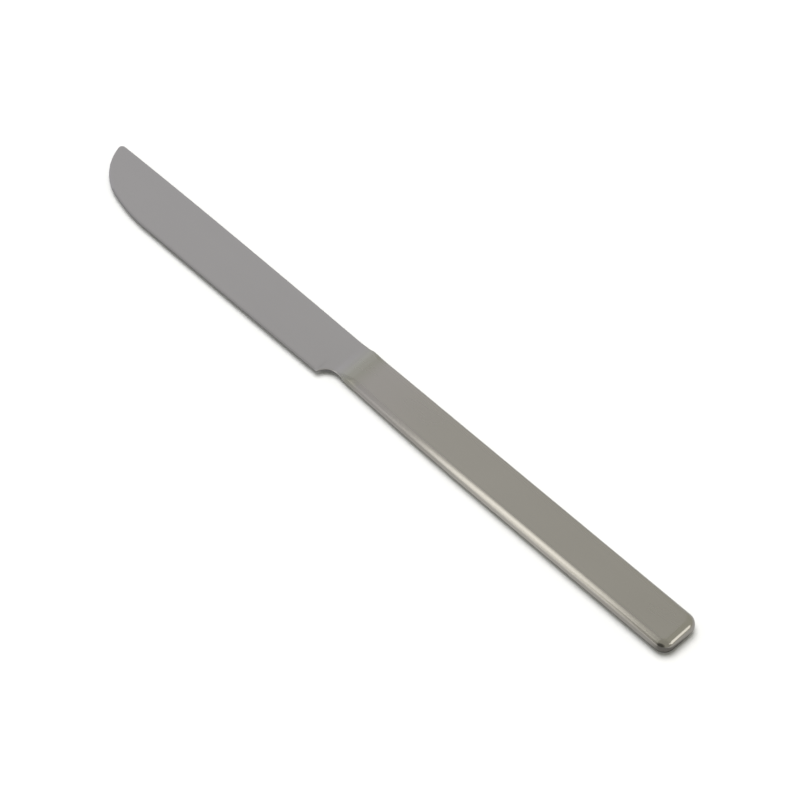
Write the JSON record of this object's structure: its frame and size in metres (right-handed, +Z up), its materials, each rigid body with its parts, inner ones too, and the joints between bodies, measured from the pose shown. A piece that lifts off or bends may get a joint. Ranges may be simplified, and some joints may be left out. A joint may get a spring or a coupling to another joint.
{
  "type": "dessert knife",
  "caption": "Dessert knife with a slim matte steel blade, a round belly and a rounded notch at the heel, set in a rounded hollow steel bar handle that thickens towards the butt.",
  "frame": {"origin": "on the resting plane, under the middle of the knife's length and of its width across spine and cutting edge", "axes": "+X along the knife from the tip to the butt, +Y towards the spine, +Z up out of the front of the handle"},
  "size_m": [0.19, 0.0136, 0.0043],
  "materials": {
    "blade_steel": "satin",
    "handle_steel": "satin",
    "braze_silver": "satin",
    "cement": "matte"
  },
  "bodies": {
    "root": {"blade": "blade_steel", "front_shell": "handle_steel", "back_shell": "handle_steel", "mouth_braze": "braze_silver", "handle_filling": "cement"}
  },
  "joints": []
}
